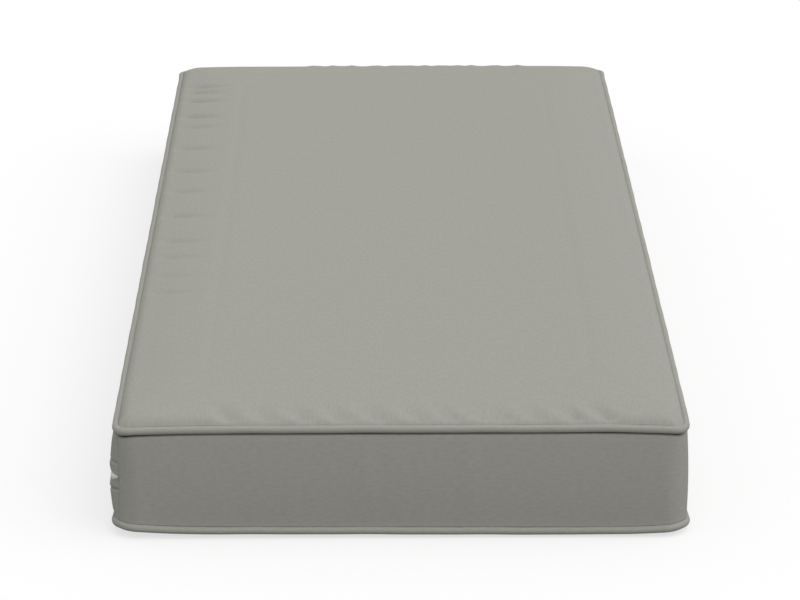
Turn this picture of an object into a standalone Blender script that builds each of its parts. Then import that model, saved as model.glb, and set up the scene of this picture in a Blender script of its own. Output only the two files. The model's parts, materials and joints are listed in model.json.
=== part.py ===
"""Pressure relief mattress: a zoned foam core in a piped cover that zips open along its left side.

Metres, +Z up. The origin lies on the surface that the mattress rests on, under its middle.
+X is the right side and +Y the head end, seen by someone who stands at the foot end.
"""

import math
from collections import namedtuple

import bmesh
import bpy
from mathutils import Vector

# Plan and height of the cover
WIDTH = 0.880  # boxing face to boxing face, at the base seam
LENGTH = 1.980  # boxing face to boxing face, at the base seam
SEAM_HEIGHT = 0.169  # centre of the base piping to centre of the top piping
CORNER_RADIUS = 0.048  # of the boxing's face, in plan
TOP_DRAW_IN = 0.004  # how far each side leans in from the base seam to the top seam
CORNER_PULL = 0.007  # how far the corners draw both seams towards mid-height
CORNER_PULL_REACH = 0.150  # length of seam that a corner pulls, from the corner's middle
BASE_CLEARANCE = 0.002  # of the base piping above the surface underneath

# Top panel's crown and base panel's rounded border
CROWN = 0.024  # rise of the top panel above its seam
CROWN_REACH = 0.110  # width of the border in which it rises
CROWN_POWER = 6  # steepness of that rise at the seam
BASE_REACH = 0.060  # width of the border in which the base panel drops to its flat
BASE_POWER = 3  # steepness of that drop at the seam

# Cloth and piping
CLOTH = 0.0015  # coated woven cover cloth
PIPING_DIAMETER = 0.012  # over the cloth
PIPING_STANDOUT = 0.003  # of the piping past the boxing's face
SEAM_ALLOWANCE = 0.007  # length of the piping's two flange layers inside the seam
FLANGE_GAP = 0.0005  # between those two layers

# Zip in the left side
MOUTH_RUN = 0.024  # length over which the mouth between the folded lips closes to a corner seam
MOUTH_CLEARANCE = 0.0012  # between the slider and each lip
PLACKET_BULGE = 0.0083  # stand-out of the cloth above and below the mouth
HEM = 0.010  # length of the lip that is folded in over the tape
TAPE_WIDTH = 0.014
TAPE_THICKNESS = 0.0008
COIL_WIDTH = 0.0064  # of both halves of the closed chain
COIL_THICKNESS = 0.0026
ZIP_END_MARGIN = 0.008  # from the start of the corner to the stop
STOP_LENGTH = 0.004
SLIDER_LENGTH = 0.017
SLIDER_PLATE = 0.0013
SLIDER_FLANGE = 0.0022  # wall beside the chain, at the slider's mouth
SLIDER_TAPER = 0.0016  # loss of wall on each side from the slider's mouth to its tail
SLIDER_CLEARANCE = 0.0004  # round the chain, the tapes and the bridge
SLIDER_ROUNDING = 0.0006
BRIDGE_LENGTH = 0.0092
BRIDGE_WIDTH = 0.0020
BRIDGE_BAR = 0.0012
POST_WIDTH = 0.0020
POST_LENGTH = 0.0044
PULL_LENGTH = 0.026
PULL_WIDTH = 0.0080
PULL_THICKNESS = 0.0014
PULL_ARM = 0.0014  # width of the tab beside the bridge
PULL_CORNER = 0.0020  # cut off the tab's free corners
GRIP_LENGTH = 0.0060  # of the hole in the tab's free end
GRIP_WALL = 0.0018  # of the tab round that hole
EYE_CLEARANCE = 0.0001  # round the tab's bar as it turns under the bridge
COIL_ROUNDING = 0.0008
STOP_ROUNDING = 0.0004

# Foam core
BASE_FOAM = 0.100  # thickness of the firm base layer
BOLSTER_WIDTH = 0.125  # of the firm rails round the pads
HEAD_ZONE = 0.560  # length of the pad under head and shoulders
HEEL_ZONE = 0.520  # length of the pad under calves and heels
SLOT_WIDTH = 0.005  # of the cuts that let the pads' blocks move by themselves
SLOT_DEPTH = 0.045

# Gaps between pieces that touch on the real mattress, and the mesh's own fineness
FIT = 0.0003
FLANGE_CLEARANCE = 0.001  # between the foam and the piping's flange
WELD = 0.000001
CORNER_STEPS = 4  # sections in the quarter turn of a corner
PLACKET_STEPS = 8  # the same where the zip's lips close
PIPING_FACETS = 8

# Sizes that follow from the ones above
PIPING_RADIUS = PIPING_DIAMETER / 2
PIPING_OUT = PIPING_STANDOUT - PIPING_RADIUS  # centre of the piping past the boxing's face
BASE_SEAM = PIPING_RADIUS + BASE_CLEARANCE
TOP_SEAM = BASE_SEAM + SEAM_HEIGHT
MID_HEIGHT = (BASE_SEAM + TOP_SEAM) / 2
PANEL_EDGE = PIPING_RADIUS - PIPING_OUT + FIT + CLOTH / 2  # from the boxing's face in to a panel's edge
SEAM_TURN = math.degrees(FIT / 2 / CORNER_RADIUS)  # half the gap at a corner seam, as an angle
CORNER_RUN = CORNER_RADIUS * math.pi / 4  # from a corner's middle to the start of its straight side

# The zip's layers, as distances past the boxing's face at mid-height
CHAIN_BACK = SLIDER_PLATE + SLIDER_CLEARANCE - CLOTH
CHAIN_FRONT = CHAIN_BACK + COIL_THICKNESS
TAPE_MIDDLE = (CHAIN_BACK + CHAIN_FRONT) / 2
HEM_OUT = TAPE_MIDDLE + TAPE_THICKNESS / 2 + FIT + CLOTH / 2
LIP_OUT = HEM_OUT + CLOTH + FIT
SLIDER_BACK = CHAIN_BACK - SLIDER_CLEARANCE - SLIDER_PLATE
SLIDER_FRONT = CHAIN_FRONT + SLIDER_CLEARANCE + SLIDER_PLATE
SLIDER_HALF = COIL_WIDTH / 2 + SLIDER_CLEARANCE + SLIDER_FLANGE  # half the width of the slider's mouth
MOUTH_HALF = SLIDER_HALF + MOUTH_CLEARANCE  # half the height between the lips
BRIDGE_EYE = math.hypot(PULL_THICKNESS, PULL_THICKNESS) + 2 * EYE_CLEARANCE  # height under the bridge
ZIP_FACE = -(WIDTH / 2 - TOP_DRAW_IN / 2)  # x of the boxing's face at mid-height
ZIP_HALF = LENGTH / 2 - CORNER_RADIUS - ZIP_END_MARGIN  # from the middle to the outer face of a stop
SLIDER_REST = -(ZIP_HALF - STOP_LENGTH - FIT - SLIDER_LENGTH / 2)  # y of the slider with the zip closed
PULL_HINGE = SLIDER_FRONT + BRIDGE_EYE / 2

# Insets of the panels' rings, as shares of the border that rises or drops
CROWN_RINGS = (0, 0.06, 0.14, 0.28, 0.5, 1)
BASE_RINGS = (0, 0.15, 0.4, 1)

# Sections of a straight side near its corner, as shares of the length that the corner pulls
PULL_STEPS = (0, 0.35, 1)

# The placket's swelling, as shares of the way from its lip to its seam and of its full bulge
PLACKET_SWELL = ((0.66, 0.45), (0.34, 0.85))

# A place on the outline: the middle of its corner's arc, or the same depth inside a straight side, then the
# outward normal, the distance along the outline from the nearest corner, and whether it is straight
Station = namedtuple("Station", "pivot normal run straight")


def clear_scene():
    for old in list(bpy.data.objects):
        bpy.data.objects.remove(old)


def new_collection(name):
    made = bpy.data.collections.new(name)
    bpy.context.scene.collection.children.link(made)
    return made


def new_material(name, colour, roughness, metallic=0.0):
    made = bpy.data.materials.new(name)
    made.use_nodes = True
    shader = made.node_tree.nodes["Principled BSDF"]
    shader.inputs["Base Color"].default_value = (*colour, 1)
    shader.inputs["Roughness"].default_value = roughness
    shader.inputs["Metallic"].default_value = metallic
    return made


clear_scene()
MATTRESS = new_collection("pressure_relief_mattress")
CUTTERS = new_collection("cutters")

COVER_CLOTH = new_material("cover_cloth", (0.365, 0.365, 0.325), 0.85)
CORD_FIBRE = new_material("cord_fibre", (0.78, 0.76, 0.70), 0.90)
ZIP_TAPE = new_material("zip_tape", (0.80, 0.79, 0.77), 0.80)
ZIP_COIL = new_material("zip_coil", (0.82, 0.82, 0.80), 0.45)
ZIP_METAL = new_material("zip_metal", (0.60, 0.59, 0.57), 0.30, 1.0)
FIRM_FOAM = new_material("firm_foam", (0.55, 0.60, 0.66), 0.95)
SOFT_FOAM = new_material("soft_foam", (0.86, 0.80, 0.62), 0.95)


def add_part(name, data, material):
    """An object of the mattress, smooth where its faces meet at a shallow angle."""
    made = bpy.data.objects.new(name, data)
    MATTRESS.objects.link(made)
    data.materials.append(material)
    if isinstance(data, bpy.types.Mesh):
        data.shade_smooth()
        data.set_sharp_from_angle(angle=math.radians(40))
    return made


def add_cutter(name, mesh):
    made = bpy.data.objects.new(name, mesh)
    CUTTERS.objects.link(made)
    made.hide_render = True
    made.display_type = "WIRE"
    return made


def finished_mesh(name, form):
    made = bpy.data.meshes.new(name)
    form.to_mesh(made)
    form.free()
    return made


def boxes(name, corners):
    """One mesh with a box for each pair of lowest and highest corners."""
    form = bmesh.new()
    for low, high in corners:
        low, high = Vector(low), Vector(high)
        made = bmesh.ops.create_cube(form, size=1)["verts"]
        bmesh.ops.scale(form, vec=high - low, verts=made)
        bmesh.ops.translate(form, vec=(low + high) / 2, verts=made)
    return finished_mesh(name, form)


def mapped_grid(name, columns, rows, place):
    """A grid of columns by rows cells, with each point where place(column, row) says.

    Points that meet are welded, and every cell is split along the same diagonal, so that neighbouring
    sheets bend along the same lines.
    """
    form = bmesh.new()
    bmesh.ops.create_grid(form, x_segments=columns, y_segments=rows, size=1)
    bmesh.ops.triangulate(form, faces=form.faces, quad_method="FIXED")
    for point in form.verts:
        column = round((point.co.x + 1) / 2 * columns)
        row = round((point.co.y + 1) / 2 * rows)
        point.co = place(column, row)
    bmesh.ops.remove_doubles(form, verts=form.verts, dist=WELD)
    bmesh.ops.recalc_face_normals(form, faces=form.faces)
    return finished_mesh(name, form)


def add_boolean(target, operation, other):
    change = target.modifiers.new(operation.lower(), "BOOLEAN")
    change.operation = operation
    change.object = other


def add_thickness(sheet, thickness):
    """Thickens a sheet by half to each side."""
    change = sheet.modifiers.new("thickness", "SOLIDIFY")
    change.thickness = thickness
    change.offset = 0
    change.use_even_offset = True


def smoothstep(share):
    share = min(max(share, 0), 1)
    return share * share * (3 - 2 * share)


# The plan's outline: a rectangle with round corners, walked anticlockwise seen from above


def corner_pull(station):
    """How far the nearest corner draws a seam towards mid-height here."""
    return CORNER_PULL * max(0, 1 - station.run / CORNER_PULL_REACH) ** 2


def corner_centre(quarter):
    middle = math.radians(45 + 90 * quarter)
    return Vector(
        (
            math.copysign(WIDTH / 2 - CORNER_RADIUS, math.cos(middle)),
            math.copysign(LENGTH / 2 - CORNER_RADIUS, math.sin(middle)),
            0,
        )
    )


def outward(degrees):
    return Vector((math.cos(math.radians(degrees)), math.sin(math.radians(degrees)), 0))


def corner_station(degrees):
    quarter = math.floor(degrees / 90)
    off_middle = math.radians(abs(degrees - 90 * quarter - 45))
    return Station(corner_centre(quarter), outward(degrees), CORNER_RADIUS * off_middle, False)


def side_stations(degrees):
    """The two ends of a straight side and the places near them where the seams still bend."""
    start = corner_centre(degrees / 90 - 1)
    end = corner_centre(degrees / 90)
    length = (end - start).length
    near = [share * (CORNER_PULL_REACH - CORNER_RUN) for share in PULL_STEPS]
    for along in (*near, *(length - step for step in reversed(near))):
        run = CORNER_RUN + min(along, length - along)
        yield Station(start.lerp(end, along / length), outward(degrees), run, True)


def stations(first, last, corner_steps):
    """Places round the outline while its outward normal turns from first to last degrees."""
    step = 90 / corner_steps
    whole = range(math.ceil(first / step), math.floor(last / step) + 1)
    turns = sorted({first, last, *(step * count for count in whole)})
    found = []
    for degrees in turns:
        if degrees % 90 == 0:
            found.extend(side_stations(degrees))
        else:
            found.append(corner_station(degrees))
    return found


def closed_outline():
    """The whole outline, with its first place again at the end."""
    return stations(45, 45 + 360, CORNER_STEPS)


def at(station, out, height):
    """The point this far past the outline, or inside it where out is negative, at this height."""
    reach = CORNER_RADIUS + out
    point = station.pivot + station.normal * (reach if station.straight else max(reach, 0))
    half_width = max(WIDTH / 2 + out, 0)
    half_length = max(LENGTH / 2 + out, 0)
    x = min(max(point.x, -half_width), half_width)
    y = min(max(point.y, -half_length), half_length)
    return Vector((x, y, height))


def base_seam(station):
    return BASE_SEAM + corner_pull(station)


def top_seam(station):
    return TOP_SEAM - corner_pull(station)


def face(height):
    """Where the leaning boxing's face is at this height, past the outline."""
    return -TOP_DRAW_IN * (height - BASE_SEAM) / SEAM_HEIGHT


# Top and base panels of the cover, and the shape of the core that fills them


def crown(inset):
    return CROWN * (1 - (1 - inset / CROWN_REACH) ** CROWN_POWER)


def panel_pull(station, seam, inset):
    """How far a corner still draws a panel this far in from its edge, until its rings turn square."""
    rounded = CORNER_RADIUS + face(seam) - PANEL_EDGE
    return corner_pull(station) * max(0, 1 - inset / rounded) ** 2


def top_height(station, inset):
    """Middle of the top panel's cloth, at this distance in from its edge."""
    return TOP_SEAM + crown(inset) - panel_pull(station, TOP_SEAM, inset)


def base_height(station, inset):
    """Middle of the base panel's cloth, at this distance in from its edge."""
    fall = (1 - inset / BASE_REACH) ** BASE_POWER
    return CLOTH / 2 + (BASE_SEAM - CLOTH / 2) * fall + panel_pull(station, BASE_SEAM, inset)


def panel_insets(rings, reach):
    """How far each ring of a panel lies in from its edge, down to the panel's middle."""
    return [*(share * reach for share in rings), LENGTH / 2]


def under_cloth(height, station, inset):
    """Vertical distance from the middle of a sloping panel's cloth to the foam."""
    slope = (height(station, inset) - height(station, inset - CLOTH)) / CLOTH
    return (CLOTH / 2 + FIT) * math.hypot(1, slope)


def add_panel(name, edge, reach, insets, height):
    """A panel of cloth, sewn round its edge and flat in its middle."""
    outline = closed_outline()

    def place(column, row):
        inset = insets[row]
        return at(outline[column], edge - PANEL_EDGE - inset, height(outline[column], min(inset, reach)))

    mesh = mapped_grid(name, len(outline) - 1, len(insets) - 1, place)
    add_thickness(add_part(name, mesh, COVER_CLOTH), CLOTH)


def seam_relief(towards_middle):
    """Both ends of the slanting cut that frees a foam edge from the piping's flange.

    Each end is a distance past the boxing's face and a rise from the piping's middle.
    """
    tip = (PIPING_RADIUS + SEAM_ALLOWANCE + FLANGE_CLEARANCE) / math.sqrt(2)
    half = (CLOTH + FLANGE_GAP / 2 + FLANGE_CLEARANCE) / math.sqrt(2)
    side = -CLOTH - FIT
    side_rise = 2 * tip + side - PIPING_OUT
    return ((side, towards_middle * side_rise), (PIPING_OUT - tip - half, towards_middle * (tip - half)))


CROWN_INSETS = panel_insets(CROWN_RINGS, CROWN_REACH)
BASE_INSETS = panel_insets(BASE_RINGS, BASE_REACH)[::-1]


def core_mesh():
    """The foam core as one shape, to be shared out among its pieces."""
    outline = closed_outline()
    lower, lower_tip = seam_relief(1)
    upper, upper_tip = seam_relief(-1)

    def ring(station):
        for inset in BASE_INSETS[:-1]:
            flat = min(inset, BASE_REACH)
            under = under_cloth(base_height, station, flat)
            yield face(BASE_SEAM) - PANEL_EDGE - inset, base_height(station, flat) + under
        for out, rise in (lower_tip, lower):
            height = base_seam(station) + rise
            yield face(height) + out, height
        for out, rise in (upper, upper_tip):
            height = top_seam(station) + rise
            yield face(height) + out, height
        for inset in CROWN_INSETS[1:]:
            flat = min(inset, CROWN_REACH)
            under = under_cloth(top_height, station, flat)
            yield face(TOP_SEAM) - PANEL_EDGE - inset, top_height(station, flat) - under

    rings = [list(ring(station)) for station in outline]

    def place(column, row):
        return at(outline[column], *rings[column][row])

    return mapped_grid("core_shape", len(outline) - 1, len(rings[0]) - 1, place)


# Boxing band: foot end, right side and head end in one strip, from corner seam to corner seam


def add_boxing_band():
    band = stations(225 + SEAM_TURN, 495 - SEAM_TURN, CORNER_STEPS)

    def place(column, row):
        low = base_seam(band[column]) + PIPING_RADIUS + FIT
        high = top_seam(band[column]) - PIPING_RADIUS - FIT
        height = high if row else low
        return at(band[column], face(height) - CLOTH / 2, height)

    mesh = mapped_grid("boxing_band", len(band) - 1, 1, place)
    add_thickness(add_part("boxing_band", mesh, COVER_CLOTH), CLOTH)


# Piping: a cloth strip folded round a filler cord, with both its flanges in the seam


def piping_section(flange_degrees):
    """The folded strip's outline in section, outwards and upwards from the cord's middle."""
    outer, inner = PIPING_RADIUS, PIPING_RADIUS - CLOTH
    thick, thin = CLOTH + FLANGE_GAP / 2, FLANGE_GAP / 2
    tip = outer + SEAM_ALLOWANCE

    def arc(radius, half_gap):
        start = math.asin(half_gap / radius)
        for step in range(PIPING_FACETS + 1):
            turn = start + (2 * math.pi - 2 * start) * step / PIPING_FACETS
            yield radius * math.cos(turn), radius * math.sin(turn)

    outline = [(tip, thick), *arc(outer, thick), (tip, -thick)]
    outline += [(tip, -thin), *reversed(list(arc(inner, thin))), (tip, thin)]
    turn = math.radians(flange_degrees)
    for along, across in outline:
        yield (
            along * math.cos(turn) - across * math.sin(turn),
            along * math.sin(turn) + across * math.cos(turn),
        )


def add_piping(level, height, seam, flange_degrees):
    outline = closed_outline()
    section = list(piping_section(flange_degrees))
    middle = face(height) + PIPING_OUT

    def place(column, row):
        out, up = section[row % len(section)]
        return at(outline[column], middle + out, seam(outline[column]) + up)

    name = f"piping_sleeve_{level}"
    add_part(name, mapped_grid(name, len(outline) - 1, len(section), place), COVER_CLOTH)

    cord = bpy.data.curves.new(f"piping_cord_{level}", "CURVE")
    cord.dimensions = "3D"
    facet_depth = math.cos(math.pi / PIPING_FACETS)
    cord.bevel_depth = (PIPING_RADIUS - CLOTH) * facet_depth - FIT
    cord.bevel_resolution = 1
    line = cord.splines.new("POLY")
    line.points.add(len(outline) - 2)
    line.use_cyclic_u = True
    for point, station in zip(line.points, outline):
        point.co = (*at(station, middle, seam(station)), 1)
    add_part(cord.name, cord, CORD_FIBRE)


# Zip: two folded lips, two tapes, two halves of a coil, stops, and a slider with its pull


def zip_point(out, along, rise):
    """A point on the left side: out from the boxing's face, towards the head and up from mid-height."""
    return Vector((ZIP_FACE - out, along, MID_HEIGHT + rise))


def zip_box(out, along, rise):
    """A box's corners from its limits outwards, towards the head and up."""
    return (
        (ZIP_FACE - max(out), min(along), MID_HEIGHT + min(rise)),
        (ZIP_FACE - min(out), max(along), MID_HEIGHT + max(rise)),
    )


def zip_side():
    """The left side of the outline, from corner seam to corner seam."""
    return stations(135 + SEAM_TURN, 225 - SEAM_TURN, PLACKET_STEPS)


def add_placket(level, towards, seam):
    """The strip of boxing above or below the zip, with its lip folded in over the tape."""
    strip = zip_side()
    shut_hem = -CLOTH / 2
    shut_lip = shut_hem + CLOTH + FIT

    def rows(station):
        """Distances past the boxing's face and up from mid-height, from the seam to the hem's end."""
        mouth = smoothstep(station.run / MOUTH_RUN)
        lip_rise = FIT / 2 + (MOUTH_HALF - FIT / 2) * mouth + CLOTH / 2
        edge_rise = abs(seam(station) - MID_HEIGHT) - PIPING_RADIUS - FIT
        lip = shut_lip + (LIP_OUT - shut_lip) * mouth
        hem = shut_hem + (HEM_OUT - shut_hem) * mouth
        yield -CLOTH / 2, edge_rise
        for way, swell in PLACKET_SWELL:
            yield PLACKET_BULGE * swell * mouth - CLOTH / 2, lip_rise + (edge_rise - lip_rise) * way
        yield max(lip, PLACKET_BULGE * mouth - CLOTH / 2), lip_rise + HEM
        yield lip, lip_rise
        yield hem, lip_rise
        yield hem, lip_rise + HEM

    sections = [list(rows(station)) for station in strip]

    def place(column, row):
        out, rise = sections[column][row]
        height = MID_HEIGHT + towards * rise
        return at(strip[column], face(height) + out, height)

    name = f"zip_placket_{level}"
    mesh = mapped_grid(name, len(strip) - 1, len(sections[0]) - 1, place)
    add_thickness(add_part(name, mesh, COVER_CLOTH), CLOTH)


def add_zip_tape(level, towards):
    """A woven tape behind a lip, as far as the mouth is fully open."""
    strip = [station for station in zip_side() if station.run >= MOUTH_RUN]

    def place(column, row):
        height = MID_HEIGHT + towards * (COIL_WIDTH / 2 + FIT + TAPE_WIDTH * row)
        return at(strip[column], face(height) + TAPE_MIDDLE, height)

    name = f"zip_tape_{level}"
    mesh = mapped_grid(name, len(strip) - 1, 1, place)
    add_thickness(add_part(name, mesh, ZIP_TAPE), TAPE_THICKNESS)


def add_rounded_box(name, corners, radius, material):
    made = add_part(name, boxes(name, [corners]), material)
    rounding = made.modifiers.new("rounding", "BEVEL")
    rounding.width = radius
    rounding.segments = 1


def add_zip_chain():
    """Two halves of the coil, the stops past the slider and the retainer at the head end."""
    chain = (CHAIN_BACK, CHAIN_FRONT)
    behind_post = SLIDER_REST - SLIDER_LENGTH / 2 + SLIDER_PLATE + POST_LENGTH + FIT
    coil = (behind_post, ZIP_HALF - STOP_LENGTH - FIT)
    half = COIL_WIDTH / 2
    for level, towards in (("upper", 1), ("lower", -1)):
        rise = (towards * FIT / 2, towards * half)
        add_rounded_box(f"zip_coil_{level}", zip_box(chain, coil, rise), COIL_ROUNDING, ZIP_COIL)
        stop = (-ZIP_HALF, -ZIP_HALF + STOP_LENGTH)
        rise = (towards * POST_WIDTH / 2, towards * half)
        add_rounded_box(f"zip_stop_{level}", zip_box(chain, stop, rise), STOP_ROUNDING, ZIP_METAL)
    retainer = zip_box(chain, (ZIP_HALF - STOP_LENGTH, ZIP_HALF), (-half, half))
    add_rounded_box("zip_retainer", retainer, STOP_ROUNDING, ZIP_METAL)


def add_slider():
    """Two plates that hold the chain between them, joined by a post, with a bridge for the pull.

    Returns the empty that carries the slider along the chain.
    """
    carriage = bpy.data.objects.new("zip_carriage", None)
    MATTRESS.objects.link(carriage)
    carriage.location = zip_point(0, SLIDER_REST, 0)

    def local_box(name, out, along, rise):
        origin = zip_point(0, 0, 0)
        return boxes(name, [[Vector(corner) - origin for corner in zip_box(out, along, rise)]])

    half_length = SLIDER_LENGTH / 2
    plates = (SLIDER_BACK, SLIDER_FRONT)
    body = local_box("zip_slider", plates, (-half_length, half_length), (-SLIDER_HALF, SLIDER_HALF))
    for point in body.vertices:
        if point.co.y > 0:
            point.co.z -= math.copysign(SLIDER_TAPER, point.co.z)
    slider = add_part("zip_slider", body, ZIP_METAL)
    slider.parent = carriage
    rounding = slider.modifiers.new("rounding", "BEVEL")
    rounding.width = SLIDER_ROUNDING
    rounding.segments = 2

    def shape_with(operation, name, mesh):
        tool = add_cutter(name, mesh)
        tool.parent = carriage
        add_boolean(slider, operation, tool)
        return tool

    bridge = (SLIDER_FRONT - SLIDER_PLATE / 2, SLIDER_FRONT + BRIDGE_EYE + BRIDGE_BAR)
    legs = (-BRIDGE_LENGTH / 2, BRIDGE_LENGTH / 2)
    bridge_sides = (-BRIDGE_WIDTH / 2, BRIDGE_WIDTH / 2)
    shape_with("UNION", "bridge", local_box("bridge", bridge, legs, bridge_sides))

    past = (-SLIDER_LENGTH, SLIDER_LENGTH)
    eye = (SLIDER_FRONT, SLIDER_FRONT + BRIDGE_EYE)
    eye_run = (legs[0] + BRIDGE_BAR, legs[1] - BRIDGE_BAR)
    chain = (CHAIN_BACK - SLIDER_CLEARANCE, CHAIN_FRONT + SLIDER_CLEARANCE)
    chain_half = COIL_WIDTH / 2 + SLIDER_CLEARANCE
    tape_half = TAPE_THICKNESS / 2 + SLIDER_CLEARANCE
    tapes = (TAPE_MIDDLE - tape_half, TAPE_MIDDLE + tape_half)
    for name, out, along, rise in (
        ("bridge_eye", eye, eye_run, past),
        ("chain_channel", chain, past, (-chain_half, chain_half)),
        ("tape_slot", tapes, past, past),
    ):
        shape_with("DIFFERENCE", name, local_box(name, out, along, rise))

    diamond = bmesh.new()
    depth = SLIDER_FRONT - SLIDER_BACK - SLIDER_PLATE
    bmesh.ops.create_cone(diamond, cap_ends=True, segments=4, radius1=1, radius2=1, depth=depth)
    bmesh.ops.scale(diamond, vec=(POST_WIDTH / 2, POST_LENGTH / 2, 1), verts=diamond.verts)
    post = shape_with("UNION", "slider_post", finished_mesh("slider_post", diamond))
    post.rotation_euler = (0, math.pi / 2, 0)
    post.location = (-TAPE_MIDDLE, SLIDER_PLATE + POST_LENGTH / 2 - half_length, 0)
    return carriage


def rectangle(along, across):
    """Corners of a rectangle from its limits along a tab and half its width."""
    return ((along[0], -across), (along[1], -across), (along[1], across), (along[0], across))


def add_pull(carriage):
    """A flat tab whose end bar lies in the bridge's eye, round which it swings."""
    pull = bpy.data.curves.new("zip_pull", "CURVE")
    pull.dimensions = "2D"
    pull.fill_mode = "BOTH"
    pull.extrude = PULL_THICKNESS / 2
    bar_half = PULL_THICKNESS / 2
    bridge_reach = math.hypot(BRIDGE_LENGTH / 2, BRIDGE_EYE / 2 + BRIDGE_BAR)
    window_end = bridge_reach + SLIDER_CLEARANCE
    window_half = BRIDGE_WIDTH / 2 + 2 * SLIDER_CLEARANCE
    arm_half = window_half + PULL_ARM
    half = PULL_WIDTH / 2
    grip_end = PULL_LENGTH - GRIP_WALL
    tab = (
        (-bar_half, -arm_half),
        (window_end, -arm_half),
        (PULL_LENGTH - PULL_CORNER, -half),
        (PULL_LENGTH, PULL_CORNER - half),
        (PULL_LENGTH, half - PULL_CORNER),
        (PULL_LENGTH - PULL_CORNER, half),
        (window_end, arm_half),
        (-bar_half, arm_half),
    )
    window = rectangle((bar_half, window_end), window_half)
    grip = rectangle((grip_end - GRIP_LENGTH, grip_end), half - GRIP_WALL)
    for outline in (tab, window, grip):
        line = pull.splines.new("POLY")
        line.points.add(len(outline) - 1)
        line.use_cyclic_u = True
        for point, place in zip(line.points, outline):
            point.co = (*place, 0, 1)
    made = add_part("zip_pull", pull, ZIP_METAL)
    made.parent = carriage
    made.location = (-PULL_HINGE, 0, 0)
    made.rotation_euler = (math.pi / 2, 0, math.pi / 2)


# Foam core: a firm base, firm rails round its border and three softer pads cut into blocks


def add_foam(name, low, high, core, material):
    """The part of the core inside a box, a little smaller on every side that meets another piece."""
    gap = Vector((FIT, FIT, FIT)) / 2
    piece = add_part(name, boxes(name, [(Vector(low) + gap, Vector(high) - gap)]), material)
    add_boolean(piece, "INTERSECT", core)
    return piece


def cut_blocks(pad, low, high, across, along):
    """Saws the pad's upper face into across by along blocks."""
    top = high[2]
    bottom = TOP_SEAM + CROWN - SLOT_DEPTH
    past = SLOT_WIDTH

    def cuts(count, axis):
        for step in range(1, count):
            middle = low[axis] + (high[axis] - low[axis]) * step / count
            first = [low[0] - past, low[1] - past, bottom]
            last = [high[0] + past, high[1] + past, top + past]
            first[axis] = middle - SLOT_WIDTH / 2
            last[axis] = middle + SLOT_WIDTH / 2
            yield first, last

    for axis, count in enumerate((across, along)):
        if count > 1:
            name = f"{pad.name}_cuts_{'xy'[axis]}"
            add_boolean(pad, "DIFFERENCE", add_cutter(name, boxes(name, list(cuts(count, axis)))))


def add_core():
    core = add_cutter("core_shape", core_mesh())
    bottom, top = 0, TOP_SEAM + CROWN + CLOTH
    split = CLOTH + FIT + BASE_FOAM
    x, y = WIDTH / 2, LENGTH / 2
    pad_x, pad_y = x - BOLSTER_WIDTH, y - BOLSTER_WIDTH
    add_foam("foam_base", (-x, -y, bottom), (x, y, split), core, FIRM_FOAM)
    add_foam("foam_rail_left", (-x, -y, split), (-pad_x, y, top), core, FIRM_FOAM)
    add_foam("foam_rail_right", (pad_x, -y, split), (x, y, top), core, FIRM_FOAM)
    add_foam("foam_rail_foot", (-pad_x, -y, split), (pad_x, -pad_y, top), core, FIRM_FOAM)
    add_foam("foam_rail_head", (-pad_x, pad_y, split), (pad_x, y, top), core, FIRM_FOAM)
    heel_end, head_end = -pad_y + HEEL_ZONE, pad_y - HEAD_ZONE
    for name, first, last, across, along in (
        ("foam_pad_heel", -pad_y, heel_end, 6, 6),
        ("foam_pad_torso", heel_end, head_end, 6, 6),
        ("foam_pad_head", head_end, pad_y, 1, 6),
    ):
        low, high = (-pad_x, first, split), (pad_x, last, top)
        cut_blocks(add_foam(name, low, high, core, SOFT_FOAM), low, high, across, along)


add_panel("top_panel", face(TOP_SEAM), CROWN_REACH, CROWN_INSETS, top_height)
add_panel("base_panel", face(BASE_SEAM), BASE_REACH, BASE_INSETS, base_height)
add_boxing_band()
add_piping("top", TOP_SEAM, top_seam, 225)
add_piping("base", BASE_SEAM, base_seam, 135)
for strip_level, strip_towards, strip_seam in (("upper", 1, top_seam), ("lower", -1, base_seam)):
    add_placket(strip_level, strip_towards, strip_seam)
    add_zip_tape(strip_level, strip_towards)
add_zip_chain()
add_pull(add_slider())
add_core()
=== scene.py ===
"""Dresses the pressure relief mattress: its foam core, woven cover, piped seams and side zip.

Metres in the CAD model's frame. +X is the right side, +Y the head end, and the mattress lies on Z = 0.
"""

import json
import math
from collections import namedtuple

import bmesh
import bpy
import numpy as np
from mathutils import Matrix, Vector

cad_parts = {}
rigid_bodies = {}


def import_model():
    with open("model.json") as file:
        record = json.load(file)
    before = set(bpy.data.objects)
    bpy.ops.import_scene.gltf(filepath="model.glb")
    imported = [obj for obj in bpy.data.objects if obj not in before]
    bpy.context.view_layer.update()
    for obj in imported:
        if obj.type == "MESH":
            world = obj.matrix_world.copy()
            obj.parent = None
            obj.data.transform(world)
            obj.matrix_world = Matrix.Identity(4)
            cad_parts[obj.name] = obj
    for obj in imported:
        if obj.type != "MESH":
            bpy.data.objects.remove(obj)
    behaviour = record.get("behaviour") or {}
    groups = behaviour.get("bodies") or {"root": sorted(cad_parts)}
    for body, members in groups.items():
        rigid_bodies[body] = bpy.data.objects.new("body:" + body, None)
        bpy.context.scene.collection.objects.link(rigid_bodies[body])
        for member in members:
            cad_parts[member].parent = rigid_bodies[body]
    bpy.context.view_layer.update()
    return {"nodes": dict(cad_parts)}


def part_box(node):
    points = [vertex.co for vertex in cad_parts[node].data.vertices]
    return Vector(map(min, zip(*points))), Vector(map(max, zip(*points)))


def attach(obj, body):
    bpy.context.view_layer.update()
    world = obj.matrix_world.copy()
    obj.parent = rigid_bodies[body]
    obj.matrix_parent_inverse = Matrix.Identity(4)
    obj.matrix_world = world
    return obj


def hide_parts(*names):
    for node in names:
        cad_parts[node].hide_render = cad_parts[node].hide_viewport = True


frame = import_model()
scene = bpy.context.scene
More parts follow.
